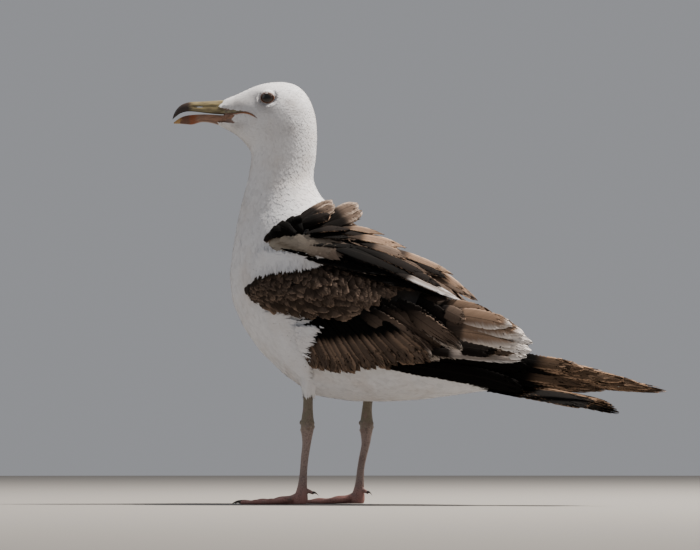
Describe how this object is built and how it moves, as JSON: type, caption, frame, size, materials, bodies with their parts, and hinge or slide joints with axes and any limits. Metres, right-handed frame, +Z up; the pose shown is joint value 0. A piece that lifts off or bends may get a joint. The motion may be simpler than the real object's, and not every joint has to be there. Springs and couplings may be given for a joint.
{
  "type": "gull model",
  "caption": "Life-size still model of a young lesser black-backed gull, standing with its neck up, its head turned and its shoulder feathers lifted by the wind.",
  "frame": {"origin": "on the floor under the middle of the model's box", "axes": "+Z up; the bird's breast faces -X and its left side faces -Y; its head is turned 25 degrees to its left"},
  "size_m": [0.4258, 0.124, 0.353],
  "materials": {
    "body_plumage": "matte",
    "vent_plumage": "matte",
    "covert_plumage": "matte",
    "tertial_plumage": "matte",
    "flight_plumage": "satin",
    "bill_horn": "satin",
    "leg_skin": "satin",
    "claw_horn": "satin",
    "eye_glass": "gloss"
  },
  "bodies": {
    "root": {"head": "body_plumage", "neck": "body_plumage", "trunk": "body_plumage", "rump": "vent_plumage", "eye_left": "eye_glass", "eye_right": "eye_glass", "upper_bill": "bill_horn", "lower_bill": "bill_horn", "wing_left": "covert_plumage", "greater_coverts_left": "covert_plumage", "scapulars_left": "covert_plumage", "tertials_left": "tertial_plumage", "primaries_left": "flight_plumage", "wing_right": "covert_plumage", "greater_coverts_right": "covert_plumage", "scapulars_right": "covert_plumage", "tertials_right": "tertial_plumage", "primaries_right": "flight_plumage", "tail": "flight_plumage", "tibia_left": "leg_skin", "tarsus_left": "leg_skin", "foot_left": "leg_skin", "claw_inner_left": "claw_horn", "claw_middle_left": "claw_horn", "claw_outer_left": "claw_horn", "claw_hind_left": "claw_horn", "tibia_right": "leg_skin", "tarsus_right": "leg_skin", "foot_right": "leg_skin", "claw_inner_right": "claw_horn", "claw_middle_right": "claw_horn", "claw_outer_right": "claw_horn", "claw_hind_right": "claw_horn"}
  },
  "joints": []
}
